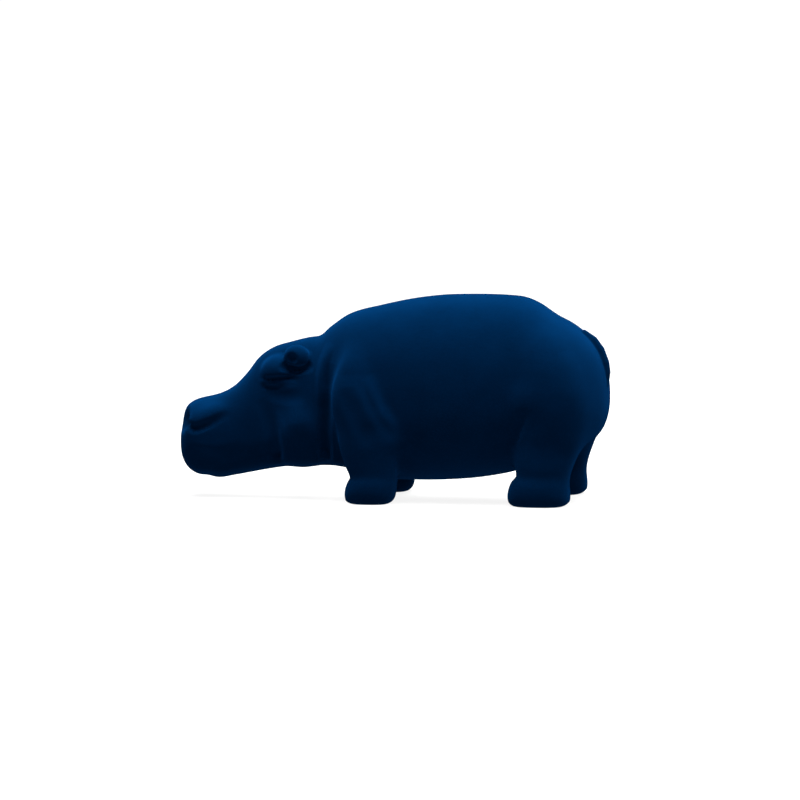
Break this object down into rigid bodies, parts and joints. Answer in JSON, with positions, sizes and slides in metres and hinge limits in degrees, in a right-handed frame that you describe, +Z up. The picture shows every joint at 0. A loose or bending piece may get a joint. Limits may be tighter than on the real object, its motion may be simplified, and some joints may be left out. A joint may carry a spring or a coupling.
{
  "type": "hippo sculpture",
  "caption": "Small standing hippopotamus figure with a low heavy head and short legs, cast in one piece and covered in dark blue velvet flock.",
  "frame": {"origin": "on the ground under the middle of the figure's bounding box", "axes": "+X towards the tail, so the muzzle points along -X, +Y towards the figure's right side, +Z up"},
  "size_m": [0.2004, 0.0812, 0.0952],
  "materials": {
    "flock": "matte velvet flock, dark blue"
  },
  "bodies": {
    "root": {"hippo": "flock"}
  },
  "joints": []
}
